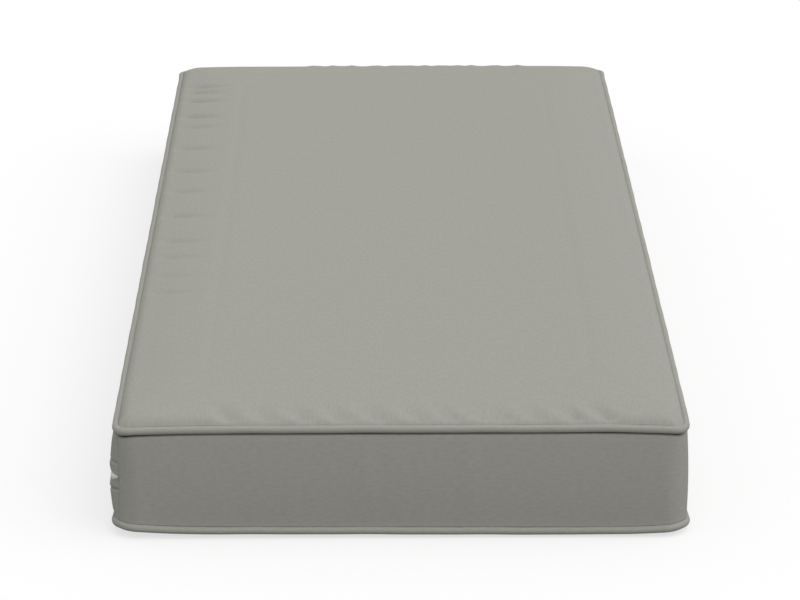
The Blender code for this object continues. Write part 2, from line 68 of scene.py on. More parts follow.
# Blender's own camera and lamp make way for the studio's.
for old in list(bpy.data.objects):
    if old.type in {"CAMERA", "LIGHT"}:
        bpy.data.objects.remove(old)


# Foam core. A firm slab, four firm rails and three softer pads with block-cut tops, sawn from slabstock
# polyurethane foam. They lie loose together. The taut cover presses their tops and the slab's lower edge.

FOAM_STOCK = {
    "firm_foam": ("foam_base", "foam_rail_left", "foam_rail_right", "foam_rail_foot", "foam_rail_head"),
    "soft_foam": ("foam_pad_heel", "foam_pad_torso", "foam_pad_head"),
}
FOAM_COLOURS = {"firm_foam": "#C3CBD4", "soft_foam": "#EEE7CE"}
FOAM_PRESS = {"firm_foam": 0.0150, "soft_foam": 0.0075}  # how far a rail's or a pad's top is pressed down
SLAB_TUCK = 0.0080  # how far the cover squeezes in the slab's lower edge
FOAM_EDGE = 0.0012
FOAM_EDGE_ANGLE = 35  # degrees, past which an edge is worn round
FOAM_FLAT = 1  # degrees, within which the CAD's facets are one face
SAME_POINT = 1e-6
FOAM_CELL = 0.003  # real cells are near 0.5 mm, drawn coarser so that they show
FOAM_PIT = 0.0004
FOAM_PATCH = 0.1111  # width of a patch where the dye took more or less
NOISE_SPAN = {"From Min": 0.3, "From Max": 0.7}  # where nearly all of a noise pattern's values lie


def linear(colour):
    """An sRGB hex colour as linear red, green, blue and alpha."""
    parts = [int(colour[start : start + 2], 16) / 255 for start in (1, 3, 5)]
    return (*(part / 12.92 if part <= 0.04045 else ((part + 0.055) / 1.055) ** 2.4 for part in parts), 1)


def add_node(tree, kind, inputs, **settings):
    """A shader node with its settings, and its inputs set to values or linked to other nodes' outputs."""
    node = tree.nodes.new(kind)
    for name, value in settings.items():
        setattr(node, name, value)
    for socket, value in inputs.items():
        if isinstance(value, bpy.types.NodeSocket):
            tree.links.new(value, node.inputs[socket])
        else:
            node.inputs[socket].default_value = value
    return node


def new_material(name, roughness, metallic=0.0, specular=0.5):
    """A material with its shader's steady values set, and the tree and shader to add patterns to."""
    made = bpy.data.materials.new(name)
    made.use_nodes = True
    shader = made.node_tree.nodes["Principled BSDF"]
    shader.inputs["Roughness"].default_value = roughness
    shader.inputs["Metallic"].default_value = metallic
    shader.inputs["Specular IOR Level"].default_value = specular
    return made, made.node_tree, shader


def give_surface(tree, shader, colour, shade, relief=None):
    """Links a colour that a pattern shades to a material's shader, and fine relief where it has any."""
    tint = add_node(tree, "ShaderNodeHueSaturation", {"Color": linear(colour), "Value": shade})
    tree.links.new(tint.outputs["Color"], shader.inputs["Base Color"])
    if relief:
        bump = add_node(tree, "ShaderNodeBump", relief)
        tree.links.new(bump.outputs["Normal"], shader.inputs["Normal"])


def add_object(name, data):
    """An object in the scene with this mesh, lamp or camera."""
    made = bpy.data.objects.new(name, data)
    scene.collection.objects.link(made)
    return made


def add_piece(name, mesh, material, slot, nodes=()):
    """A smooth piece fixed to the mattress, in place of these CAD nodes. Its slot argument is not used."""
    piece = add_object(name, mesh)
    mesh.materials.append(material)
    mesh.shade_smooth()
    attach(piece, "mattress")
    if nodes:
        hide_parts(*nodes)
    return piece


def sawn_foam(name, colour):
    """Open-cell polyurethane foam as the saw leaves it: dull, finely pitted, painted shade in the pits,
    unevenly dyed.
    """
    made, tree, shader = new_material(name, roughness=0.95, specular=0.2)
    place = add_node(tree, "ShaderNodeTexCoord", {}).outputs["Object"]
    cells = add_node(tree, "ShaderNodeTexVoronoi", {"Vector": place, "Scale": 1 / FOAM_CELL})
    cloud = add_node(tree, "ShaderNodeTexNoise", {"Vector": place, "Scale": 1 / FOAM_PATCH, "Detail": 3.0})
    # Painted shade: the colour is darker towards the bottom of each pit, by the same pattern that gives the
    # pits' relief.
    pit_shade = {"Value": cells.outputs["Distance"], "From Max": 0.7, "To Min": 0.72, "To Max": 1.05}
    depth = add_node(tree, "ShaderNodeMapRange", pit_shade).outputs["Result"]
    dye = {"Value": cloud.outputs["Fac"], **NOISE_SPAN, "To Min": 0.95, "To Max": 1.02}
    shade = add_node(tree, "ShaderNodeMapRange", dye).outputs["Result"]
    both = add_node(tree, "ShaderNodeMath", {0: depth, 1: shade}, operation="MULTIPLY").outputs[0]
    give_surface(tree, shader, colour, both, {"Height": depth, "Strength": 0.6, "Distance": FOAM_PIT})
    return made


def pressed_foam(node, press):
    """The CAD foam's own form, whole-faced again, as the cover presses it: a top down, the slab's foot in."""
    form = bmesh.new()
    form.from_mesh(frame["nodes"][node].data)
    bmesh.ops.remove_doubles(form, verts=form.verts, dist=SAME_POINT)
    flat = math.radians(FOAM_FLAT)
    bmesh.ops.dissolve_limit(form, angle_limit=flat, verts=form.verts, edges=form.edges)
    low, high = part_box(node)
    for point in form.verts:
        up = (point.co.z - low.z) / (high.z - low.z)
        if node == "foam_base":
            point.co.x *= 1 - SLAB_TUCK * (1 - up) / high.x
            point.co.y *= 1 - SLAB_TUCK * (1 - up) / high.y
        else:
            point.co.z -= press * up
    mesh = bpy.data.meshes.new(node)
    form.to_mesh(mesh)
    form.free()
    return mesh


for stock, nodes in FOAM_STOCK.items():
    foam = sawn_foam("sawn_" + stock, FOAM_COLOURS[stock])
    for node in nodes:
        form = pressed_foam(node, FOAM_PRESS[stock])
        piece = add_piece(node.replace("foam_", "cut_foam_"), form, foam, stock, [node])
        edge = piece.modifiers.new("worn_edge", "BEVEL")
        edge.width = FOAM_EDGE
        edge.segments = 2
        edge.angle_limit = math.radians(FOAM_EDGE_ANGLE)


# Base panel. One piece of coated woven polyester under the core, cut flat and sewn into the base seam
# all round. It lies flat on the bed's deck and turns up to the seam over its last few centimetres.

sleeve_low, sleeve_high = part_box("piping_sleeve_base")
top_sleeve_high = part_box("piping_sleeve_top")[1]
PIPING_RADIUS = 0.006
CAD_STANDOUT = 0.003  # of the CAD model's piping past its boxing's face
BASE_SETTLE = 0.0027  # how far the stuffed cover draws each seam towards mid-height
TOP_SETTLE = 0.0015
HALF_WIDTH = sleeve_high.x - CAD_STANDOUT  # boxing's face at the base seam
HALF_LENGTH = sleeve_high.y - CAD_STANDOUT
BASE_SEAM = sleeve_low.z + PIPING_RADIUS + BASE_SETTLE
TOP_SEAM = top_sleeve_high.z - PIPING_RADIUS - TOP_SETTLE
MID_HEIGHT = (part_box("zip_coil_lower")[1].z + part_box("zip_coil_upper")[0].z) / 2  # of the zip
TOP_DRAW_IN = sleeve_high.x - top_sleeve_high.x
CORNER_RADIUS = 0.038
BASE_PULL = (0.0050, 0.0050)  # how far the foot's and head's corners draw a seam towards mid-height
BASE_PULL_REACH = 0.150
BASE_TILT = 0.0022  # how much higher the left side's base seam is than the middle's, and lower the right's
CORNER_RUN = CORNER_RADIUS * math.pi / 4  # from a corner's middle to the end of its arc
CLOTH = 0.0012
SQUEEZED = 0.1  # of its thickness, where cloth is sewn hard against the piping
BASE_EDGE = 0.0068  # from the boxing's face in to the panel's edge, behind the piping
PANEL_BORDER = 0.170  # width of border with the finer mesh
PANEL_FINE = 0.0050
PANEL_RIM = 0.0015  # between the mesh lines beside the piping
PANEL_COARSE = 0.0140
CORNER_EASE = 0.6  # how fast a panel's contours grow rounder inwards
INSET_HALVINGS = 30
ENDS = (0, -1)  # first and last row or column
BASE_REACH = 0.060
# A pucker's depth and width, how far from its seam it reaches and is deepest, and how much it slants.
Pucker = namedtuple("Pucker", "depth width reach peak drift")
BASE_PUCKER = Pucker(depth=0.0020, width=0.016, reach=0.050, peak=0.012, drift=0)
BASE_GATHERS = ((0.097, 1), (0.166, 0.8), (0.228, 1), (0.307, 0.7))  # x and strength at the foot end
COVER_COLOUR = "#A4A49C"
THREAD = 0.0015  # real threads are near 0.6 mm, drawn coarser so that the weave shows
NUB = 0.0003  # height of a crossing
SLUB_WIDTH = 0.0034  # of a thick thread's streak
SLUB_LENGTH = 0.011
GRAIN = "cloth_grain"


def smoothstep(share):
    """A share eased at both ends, from 0 up to 1."""
    share = np.clip(share, 0, 1)
    return share * share * (3 - 2 * share)


def woven_cloth(name, colour, thread):
    """Plain-woven polyester with a matt coating: nubs where threads cross, and thick threads as streaks."""
    made, tree, shader = new_material(name, roughness=0.88, specular=0.25)
    grain = add_node(tree, "ShaderNodeUVMap", {}, uv_map=GRAIN).outputs["UV"]
    period = math.pi / 10 / (2 * thread)  # a wave texture repeats every pi / 10 of its own units
    waves = {"Vector": grain, "Scale": period, "Distortion": 0.6, "Detail": 1.0}
    warp = add_node(tree, "ShaderNodeTexWave", waves, bands_direction="X").outputs["Fac"]
    weft = add_node(tree, "ShaderNodeTexWave", waves, bands_direction="Y").outputs["Fac"]
    nubs = add_node(tree, "ShaderNodeMath", {0: warp, 1: weft}, operation="MULTIPLY").outputs[0]
    stretch = {"Vector": grain, "Scale": (1 / SLUB_WIDTH, 1 / SLUB_LENGTH, 1)}
    threads = add_node(tree, "ShaderNodeMapping", stretch).outputs["Vector"]
    slub = add_node(tree, "ShaderNodeTexNoise", {"Vector": threads, "Scale": 1.0, "Detail": 2.0})
    light = {"Value": nubs, "To Min": 0.985, "To Max": 1.025}
    shade = add_node(tree, "ShaderNodeMapRange", light).outputs["Result"]
    streak = {"Value": slub.outputs["Fac"], **NOISE_SPAN, "To Min": 0.955, "To Max": 1.045}
    uneven = add_node(tree, "ShaderNodeMapRange", streak).outputs["Result"]
    both = add_node(tree, "ShaderNodeMath", {0: shade, 1: uneven}, operation="MULTIPLY").outputs[0]
    give_surface(tree, shader, colour, both, {"Height": nubs, "Strength": 0.25, "Distance": NUB})
    return made


COVER = woven_cloth("coated_woven_polyester", COVER_COLOUR, THREAD)


def lean(height):
    """How far past the outline the boxing's face is at this height, as its sides lean in to the top."""
    return -TOP_DRAW_IN * (height - BASE_SEAM) / (TOP_SEAM - BASE_SEAM)


def corner_pull(run, at_head, pull, reach):
    """How far the nearest corner draws a seam towards mid-height, this far along from its middle."""
    return np.where(at_head, pull[1], pull[0]) * np.clip(1 - run / reach, 0, 1) ** 2


def base_seam(across, run, at_head):
    """Height of the base seam this far to the right, and this far along from its nearest corner's middle."""
    return BASE_SEAM - BASE_TILT * across / HALF_WIDTH + corner_pull(run, at_head, BASE_PULL, BASE_PULL_REACH)


def add_loft(name, points, across, along, material, slot, nodes=(), tube=False, ring=False):
    """A piece through rows and columns of points, with its cloth's grain as a UV map in metres.

    across gives each row's place on the cloth and along each column's. A tube's rows and a ring's columns
    join up, and then across or along has one more place at its end.
    """
    rows, columns = points.shape[:2]
    faces = []
    grain = []
    for row in range(rows if tube else rows - 1):
        for column in range(columns if ring else columns - 1):
            corners = ((row, column), (row, column + 1), (row + 1, column + 1), (row + 1, column))
            faces.append([down % rows * columns + over % columns for down, over in corners])
            grain.extend((across[down], along[over]) for down, over in corners)
    mesh = bpy.data.meshes.new(name)
    mesh.from_pydata(points.reshape(-1, 3).tolist(), [], faces)
    mesh.uv_layers.new(name=GRAIN).uv.foreach_set("vector", np.array(grain, np.float32).ravel())
    return add_piece(name, mesh, material, slot, nodes)


def add_thickness(piece, thickness, sewn=None):
    """Thickens a sheet by half to each side, and squeezes it thin at its sewn points."""
    change = piece.modifiers.new("thickness", "SOLIDIFY")
    change.thickness = thickness
    change.offset = 0
    if sewn is not None:
        group = piece.vertex_groups.new(name="full_thickness")
        group.add(np.flatnonzero(~sewn).tolist(), 1, "REPLACE")
        change.vertex_group = group.name
        change.thickness_vertex_group = SQUEEZED


def panel_lines(half, corner, coarse):
    """Where a panel's mesh lines cross one of its sides: close in its border, wider in its middle."""
    round_part = np.linspace(0, corner, math.ceil(corner / PANEL_RIM) + 1)[:-1]
    border = np.linspace(corner, PANEL_BORDER, math.ceil((PANEL_BORDER - corner) / PANEL_FINE) + 1)[:-1]
    middle = np.linspace(PANEL_BORDER, half, math.ceil((half - PANEL_BORDER) / coarse) + 1)
    lines = half - np.concatenate((round_part, border, middle))
    return np.concatenate((-lines, lines[-2::-1]))


def panel_plan(half, corner, coarse):
    """A panel's points in plan, as rows of columns, with its square corners drawn round."""
    columns, rows = (panel_lines(side, corner, step) for side, step in zip(half, coarse))
    plan = np.stack(np.meshgrid(columns, rows), axis=-1)
    into = np.clip((np.abs(plan) - (half - corner)) / corner, 0, 1)
    drawn = into * np.sqrt(1 - into[..., ::-1] ** 2 / 2)
    return plan + np.sign(plan) * (drawn - into) * corner


def panel_inset(plan, half, corner):
    """How far each point lies in from a panel's edge, up to the border's width."""
    near = np.zeros(plan.shape[:2])
    far = np.full(plan.shape[:2], PANEL_BORDER)
    for halving in range(INSET_HALVINGS):
        inset = (near + far) / 2
        radius = (corner + CORNER_EASE * inset)[..., None]
        past_arc = np.abs(plan) - (half - inset[..., None]) + radius
        outside = np.linalg.norm(np.maximum(past_arc, 0), axis=-1) + np.minimum(past_arc.max(-1), 0)
        inside = outside < radius[..., 0]
        near = np.where(inside, inset, near)
        far = np.where(inside, far, inset)
    return near


def panel_run(plan, half, corner):
    """Distance of each point from its nearest corner's middle, along the panel's edge."""
    short_of_arc = (half - corner) - np.abs(plan)
    into = np.maximum(-short_of_arc, 0)
    turn = np.arctan2(into[..., 1], np.maximum(into[..., 0], 1e-9))
    on_arc = (short_of_arc < 0).all(-1)
    return np.where(on_arc, CORNER_RADIUS * np.abs(turn - math.pi / 4), CORNER_RUN + short_of_arc.max(-1))


def gathers(form, places, along, inset):
    """How deep the soft puckers are that a seam's gathers make, from each one's place and strength."""
    past_peak = (inset - form.peak) / (form.reach - form.peak)
    shown = smoothstep(inset / form.peak) * (1 - smoothstep(past_peak))
    strong = 0
    for place, strength in places:
        strong = strong + strength * np.exp(-(((along - place - form.drift * inset) / form.width) ** 2))
    return form.depth * (strong * shown)


def add_panel(name, plan, height, nodes):
    """A panel of cover cloth from its plan and the height of each point."""
    points = np.dstack((plan, height)).transpose(1, 0, 2)
    return add_loft(name, points, plan[0, :, 0], plan[:, 0, 1], COVER, "cover_cloth", nodes)


def sewn_edges(shape, rows, columns=()):
    """Which of a sheet's points are on its sewn edges, from its mesh's rows and columns."""
    sewn = np.zeros(shape, bool)
    sewn[list(rows)] = True
    sewn[:, list(columns)] = True
    return sewn.ravel()


base_half = np.array((HALF_WIDTH, HALF_LENGTH)) - BASE_EDGE
base_corner = CORNER_RADIUS - BASE_EDGE
base_plan = panel_plan(base_half, base_corner, (PANEL_COARSE, PANEL_COARSE))
base_inset = panel_inset(base_plan, base_half, base_corner)
base_run = panel_run(base_plan, base_half, base_corner)
turned_up = np.clip(1 - base_inset / BASE_REACH, 0, 1) ** 3
base_rise = (base_seam(base_plan[..., 0], base_run, base_plan[..., 1] > 0) - CLOTH / 2) * turned_up
from_foot_edge = base_half[1] + base_plan[..., 1]
base_rise -= gathers(BASE_PUCKER, BASE_GATHERS, base_plan[..., 0], from_foot_edge)
base_panel = add_panel("base_panel_cloth", base_plan, CLOTH / 2 + np.maximum(base_rise, 0), ["base_panel"])
add_thickness(base_panel, CLOTH, sewn_edges(base_inset.T.shape, ENDS, ENDS))


# Piping. A bias strip of the cover cloth folded round a twisted filler cord, whose two flange layers are
# sewn into each seam between panel and boxing. The cord gives the seam its round, slightly wavering edge.

PIPING_FACETS = 18
PIPING_FLANGE = 0.007
FLANGE_GAP = 0.0005
BASE_SIDE_TUCK = 0.0024  # how much less the base piping stands out along the sides
BASE_TUCK_RUN = 0.090  # from a corner's middle to where it does so in full
BASE_STANDOUT = 0.0055  # of the piping past the boxing's face
TOP_STANDOUT = 0.0030
TOP_TIGHTER = 0.010  # how much smaller the top piping's corner radius is
TOP_PULL = (0.0045, 0.0045)  # as BASE_PULL
TOP_PULL_REACH = 0.150
TOP_EAR = (0, 0.003)  # how far the foot's and head's corners stick out
TOP_EAR_REACH = 0.080
FLANGE_ANGLES = {"base": 135, "top": 225}  # degrees, up and in from the base seam, down and in from the top
PIPING_WAVER = 0.0003
WAVER_WAVES = ((0.41, 1.3), (0.173, 2.1), (0.089, 0.4))  # lengths, and a phase for each
SIDE_STEP = 0.008  # between the mesh's sections along a straight side
ARC_STEP = 0.004
CORD_RADIUS = 0.0041
CORD_LAY = 0.060  # length of one turn of the cord's strands
CORD_STRANDS = 3
CORD_FACETS = 18
CORD_COLOUR = "#E4E2DA"
FIBRE = 0.0016  # real fibres are far finer, drawn coarser so that they show
FIBRE_RELIEF = 0.0003

Walk = namedtuple("Walk", "pivots normals spread runs along")


def corner_pivot(quarter):
    """Centre of a corner's arc in plan, counted anticlockwise from the right side's head end."""
    middle = math.radians(45 + 90 * quarter)
    across = math.copysign(HALF_WIDTH - CORNER_RADIUS, math.cos(middle))
    return np.array((across, math.copysign(HALF_LENGTH - CORNER_RADIUS, math.sin(middle))))


def lengths_along(points):
    """How far each point of a line, or on average each row of points, is from the first."""
    steps = np.linalg.norm(np.diff(points, axis=0), axis=-1)
    return np.concatenate(((0,), np.cumsum(steps.reshape(len(steps), -1).mean(-1))))


def walk_outline(first, last):
    """Places round the cover while the outline's outward direction turns from first to last degrees.

    Each has its arc's centre, or the same depth inside a straight side, its outward direction, how it moves
    where the corners are tighter, its distance from the nearest corner's middle, and its distance along.
    """
    bends = sorted({first, last, *range(90 * math.ceil(first / 90), math.floor(last) + 1, 90)})
    places = []
    for start, end in zip(bends, bends[1:]):
        quarter = math.floor(start / 90)
        pivot = corner_pivot(quarter)
        steps = math.ceil(math.radians(end - start) * CORNER_RADIUS / ARC_STEP)
        for turn in np.linspace(start, end, steps + 1):
            run = CORNER_RADIUS * abs(math.radians(turn - 90 * quarter - 45))
            places.append((pivot, math.radians(turn), run))
        if end == last:
            break
        ahead = corner_pivot(quarter + 1)
        length = np.linalg.norm(ahead - pivot)
        for share in np.linspace(0, 1, math.ceil(length / SIDE_STEP) + 1)[1:-1]:
            run = CORNER_RUN + length * min(share, 1 - share)
            places.append((pivot + (ahead - pivot) * share, math.radians(end), run))
    pivots, turns, runs = (np.array(column) for column in zip(*places))
    normals = np.column_stack((np.cos(turns), np.sin(turns)))
    spread = pivots / np.abs(corner_pivot(0)) - normals
    return Walk(pivots, normals, spread, runs, lengths_along(pivots + normals * CORNER_RADIUS))


def past_outline(walk, out, height, tighter=0):
    """A point this far past the outline, at this height, at each place of a walk."""
    shape = walk.runs.shape
    reach = np.broadcast_to(CORNER_RADIUS + out, shape)[:, None]
    tighter = np.broadcast_to(tighter, shape)[:, None]
    plan = walk.pivots + walk.normals * reach + walk.spread * tighter
    return np.column_stack((plan, np.broadcast_to(height, shape)))


def walk_pull(walk, pull, reach):
    """How far the nearest corner draws a seam towards mid-height, at each place of a walk."""
    return corner_pull(walk.runs, walk.pivots[:, 1] > 0, pull, reach)


def walk_seam(walk, level):
    """Height of the base or top seam at each place of a walk."""
    if level == "base":
        return base_seam(walk.pivots[:, 0], walk.runs, walk.pivots[:, 1] > 0)
    return TOP_SEAM - walk_pull(walk, TOP_PULL, TOP_PULL_REACH)


def waver(along, seed):
    """A slow uneven wave along a sewn edge, between about -1 and 1."""
    return sum(np.sin(2 * math.pi * along / length + phase * seed) for length, phase in WAVER_WAVES) / 2


def spun_cord(name, colour):
    """Spun polyester cord: dull white fibres that run round with the strands."""
    made, tree, shader = new_material(name, roughness=0.92, specular=0.2)
    grain = add_node(tree, "ShaderNodeUVMap", {}, uv_map=GRAIN).outputs["UV"]
    stretch = {"Vector": grain, "Scale": (1 / CORD_LAY, 1 / FIBRE, 1)}
    fibres = add_node(tree, "ShaderNodeMapping", stretch).outputs["Vector"]
    hairs = {"Vector": fibres, "Scale": 1.0, "Detail": 3.0}
    hair = add_node(tree, "ShaderNodeTexNoise", hairs).outputs["Fac"]
    light = {"Value": hair, **NOISE_SPAN, "To Min": 0.86, "To Max": 1.04}
    shade = add_node(tree, "ShaderNodeMapRange", light).outputs["Result"]
    give_surface(tree, shader, colour, shade, {"Height": hair, "Strength": 0.4, "Distance": FIBRE_RELIEF})
    return made


CORD = spun_cord("spun_polyester_cord", CORD_COLOUR)


def folded_strip(flange_degrees):
    """The strip's section, outwards and upwards from the cord's middle, with its flange at this angle."""
    outer, inner = PIPING_RADIUS, PIPING_RADIUS - CLOTH
    thick, thin = CLOTH + FLANGE_GAP / 2, FLANGE_GAP / 2
    tip = outer + PIPING_FLANGE

    def arc(radius, half_gap):
        start = math.asin(half_gap / radius)
        turns = np.linspace(start, 2 * math.pi - start, PIPING_FACETS + 1)
        return np.column_stack((radius * np.cos(turns), radius * np.sin(turns)))

    outline = np.concatenate(
        (
            [(tip, thick)],
            arc(outer, thick),
            [(tip, -thick), (tip, -thin)],
            arc(inner, thin)[::-1],
            [(tip, thin)],
        )
    )
    turn = math.radians(flange_degrees)
    turned = np.array(((math.cos(turn), math.sin(turn)), (-math.sin(turn), math.cos(turn))))
    return outline @ turned


def strand_section(turn):
    """Section of a twisted cord whose strands have turned this far, outwards and upwards from its middle."""
    strand = CORD_RADIUS / (1 + 2 / math.sqrt(3))
    offset = CORD_RADIUS - strand
    around = np.linspace(0, 2 * math.pi, CORD_FACETS, endpoint=False)
    apart = (around + math.pi / CORD_STRANDS) % (2 * math.pi / CORD_STRANDS) - math.pi / CORD_STRANDS
    reach = offset * np.cos(apart) + np.sqrt(np.maximum(strand**2 - (offset * np.sin(apart)) ** 2, 0))
    return np.column_stack((reach * np.cos(around + turn), reach * np.sin(around + turn)))


def add_piping(level, standout, tighter):
    """One seam's piping: the folded strip round the whole outline, and the cord inside it."""
    seam = walk_seam(round_walk, level)
    out = lean(seam) + standout - PIPING_RADIUS + PIPING_WAVER * waver(round_walk.along, 1)
    height = seam + PIPING_WAVER * waver(round_walk.along, 2)
    out[-1], height[-1] = out[0], height[0]

    def ring(aside, up):
        return past_outline(round_walk, out + aside, height + up, tighter)[:-1]

    strip = folded_strip(FLANGE_ANGLES[level])
    points = np.stack([ring(aside, up) for aside, up in strip])
    grain = (lengths_along(np.concatenate((strip, strip[:1]))), round_walk.along)
    name = f"piping_cloth_{level}"
    node = f"piping_sleeve_{level}"
    sleeve = add_loft(name, points, *grain, COVER, "cover_cloth", [node], tube=True, ring=True)
    length = round_walk.along[-1]
    turns = round(length / CORD_LAY) * 2 * math.pi * round_walk.along / length
    sections = np.array([strand_section(turn) for turn in turns])
    points = np.stack([ring(sections[:, facet, 0], sections[:, facet, 1]) for facet in range(CORD_FACETS)])
    across = np.arange(CORD_FACETS + 1) * 2 * math.pi * CORD_RADIUS / CORD_FACETS
    grain = (across, round_walk.along)
    name = f"filler_cord_{level}"
    node = f"piping_cord_{level}"
    add_loft(name, points, *grain, CORD, "cord_fibre", [node], tube=True, ring=True)


round_walk = walk_outline(45, 405)
base_tuck = BASE_SIDE_TUCK * round_walk.normals[:, 0] ** 2 * smoothstep(round_walk.runs / BASE_TUCK_RUN)
add_piping("base", BASE_STANDOUT - base_tuck, 0)
top_ears = walk_pull(round_walk, TOP_EAR, TOP_EAR_REACH)
add_piping("top", TOP_STANDOUT + top_ears, TOP_TIGHTER)


# Boxing band. One strip of the cover cloth round the foot end, right side and head end, sewn between the
# two piped seams. Its top turns in under the piping, and its ends turn in at the two corner seams.

CORNER_SEAM = 36  # degrees that the band reaches past each end of the left side
SHOULDER_RISE = 0.0022  # of the turned-in top edge
SHOULDER_TURN = 0.0080
SHOULDER_ANGLE = 80  # degrees that it turns through
SHOULDER_FROM = 0.0103  # below the top piping's middle
CORNER_GAP = 0.0020  # how much further below it at a corner's middle
SHOULDER_STEPS = 7
SHOULDER_TIGHTER = 0.004
BAND_BULGE = 0.0022  # of the band's middle, which the core pushes out
BULGE_RUN = 0.080  # from the band's end to where it does so in full
MIDDLE_FULLER = 0.002
SKIRT_RISE = 0.0060  # of the lower edge, which turns out a little on to the piping
SKIRT_FLARE = 0.0004
SKIRT_FROM = 0.0059  # above the base piping's middle
SKIRT_STEPS = 4
FACE_STEPS = 12
SEAM_DIP = 0.0001  # of a strip's end into its corner seam
SEAM_DIP_RUN = 0.005
FOLDS = ((-0.056, 1), (-0.005, 0.8), (0.035, 0.4), (0.103, 1))  # x and strength of soft folds in the foot end
FOLD = 0.0013
FOLD_WIDTH = 0.013
FOLD_SKEW = 0.7  # under 1, which puts a fold's fullest place above mid-height
STRAIGHT = 0.99  # how nearly the foot end's straight run faces the foot


def boxing_edge_base(walk):
    """Distances past the boxing's face and heights from the base piping up to the flat face."""
    seam = walk_seam(walk, "base")
    for share in np.linspace(0, 1, SKIRT_STEPS + 1):
        yield SKIRT_FLARE * (1 - share) ** 3, seam + SKIRT_FROM + SKIRT_RISE * share


def boxing_edge_top(walk):
    """The same from the flat face up and in under the top piping."""
    seam = walk_seam(walk, "top")
    start = seam - SHOULDER_FROM - CORNER_GAP * (2 * walk.normals.prod(axis=1)) ** 2
    for turn in np.linspace(0, math.radians(SHOULDER_ANGLE), SHOULDER_STEPS + 1):
        yield -SHOULDER_TURN * (1 - math.cos(turn)), start + SHOULDER_RISE * math.sin(turn)


def corner_tightness(height):
    """How much tighter the boxing's corners are at this height: full midway, close under the piping."""
    up = (height - BASE_SEAM) / (TOP_SEAM - BASE_SEAM)
    return SHOULDER_TIGHTER * smoothstep(2 * up - 1) - MIDDLE_FULLER * 4 * up * (1 - up)


def boxing_point(walk, out, height):
    """Points of a boxing strip's middle layer, this far past the boxing's face at these heights."""
    return past_outline(walk, lean(height) - CLOTH / 2 + out, height, corner_tightness(height))


def seam_dip(from_seam):
    """How far a strip dips in, this far from its corner seam."""
    return SEAM_DIP * np.clip(1 - from_seam / SEAM_DIP_RUN, 0, 1) ** 2


band_walk = walk_outline(180 + CORNER_SEAM, 540 - CORNER_SEAM)
from_band_end = np.minimum(band_walk.along, band_walk.along[-1] - band_walk.along)
band_dip = seam_dip(from_band_end)
bulging = smoothstep(from_band_end / BULGE_RUN)
in_foot = band_walk.normals[:, 1] < -STRAIGHT
slack = sum(high * np.exp(-(((band_walk.pivots[:, 0] - place) / FOLD_WIDTH) ** 2)) for place, high in FOLDS)
lower_edge = list(boxing_edge_base(band_walk))
upper_edge = list(boxing_edge_top(band_walk))
band_rows = lower_edge[:]
for share in np.linspace(0, 1, FACE_STEPS + 1)[1:-1]:
    height = lower_edge[-1][1] + (upper_edge[0][1] - lower_edge[-1][1]) * share
    folded = FOLD * in_foot * slack * math.sin(math.pi * (1 - share) ** FOLD_SKEW)
    band_rows.append((folded + BAND_BULGE * bulging * math.sin(math.pi * share), height))
band_rows.extend(upper_edge)
band_points = np.stack([boxing_point(band_walk, out - band_dip, height) for out, height in band_rows])
band_across = [height.max() for out, height in band_rows]
boxing = add_loft(
    "boxing_cloth", band_points, band_across, band_walk.along, COVER, "cover_cloth", ["boxing_band"]
)
add_thickness(boxing, CLOTH, sewn_edges(band_points.shape[:2], ENDS))


# Zip plackets. Two strips of the cover cloth along the left side, each with its inner edge folded in over
# a zip tape and sewn down. The core pushes them out, and at the foot end they gape over the white tape.

LIP_OUT = 0.00475  # of the folded edge's front layer past the boxing's face
HEM_OUT = 0.00295  # of its back layer
HEM = 0.010
SHUT_LIP = 0.0010  # of the front layer where the lips meet at a corner seam
SHUT_HEM = -0.0004
LIPS_SHUT = 0.0008  # from mid-height to each lip where they meet
MOUTH_HALF = 0.0070  # the same where they are open for the slider
MOUTH_RUN = 0.024
LIPS_RAISED = 0.0018  # how far above mid-height they meet at the foot end
GAPE_SLOPES = {"upper": 0.09, "lower": 0.55}  # how fast each lip draws away there
GAPE_RUN = 0.023
GAPE_EASE = 0.018
GAPE_FADE = 0.034  # length over which the stitches come back to their line past the gape
PLACKET_BULGE = 0.0079
LIP_PUFF = 0.0014  # how much further the core pushes out the lips where they gape
LIP_PUFF_TO = 0.026  # from the corner seam to where that push starts to fade
PUFF_FADE = 0.014
PUFF_START = 0.012
PLACKET_PEAK = 0.12  # where the bulge is fullest, from lip to seam
PLACKET_SLOPE = 0.6  # share of the bulge that is lost evenly from there to the seam
PLACKET_TURN = 10  # power of the turn in to the seam that takes the rest
PLACKET_FINE = 0.50  # share of the strip, beside the lip, with the finer mesh
LIP_FADE = 0.50  # share of the strip over which the lip's own place fades
LIP_STEPS = 35  # in the finer mesh
SEAM_STEPS = 11  # in the rest
HEM_ROWS = 4  # of points, before the front's
SEWN_AT = 0.0160  # from mid-height to the stitches
SEWN_WIDTH = 0.0022
SEWN_DEPTH = 0.0010
SEWN_DRAWN = {"upper": (0.0058, 0.11), "lower": (0.0040, 0.155)}  # how much further at the foot, and slope
SEWN_FOLD = 0.0034  # how much deeper the cloth folds in at the stitches near the foot end
SEWN_FOLD_RUN = 0.007
STITCH = 0.0032
STITCH_GAP = 0.0008
STITCH_THREAD = 0.00035
STITCH_FACETS = 5
STITCH_SUNK = 0.6  # of the thread's radius
STITCH_COLOUR = "#8F8F88"


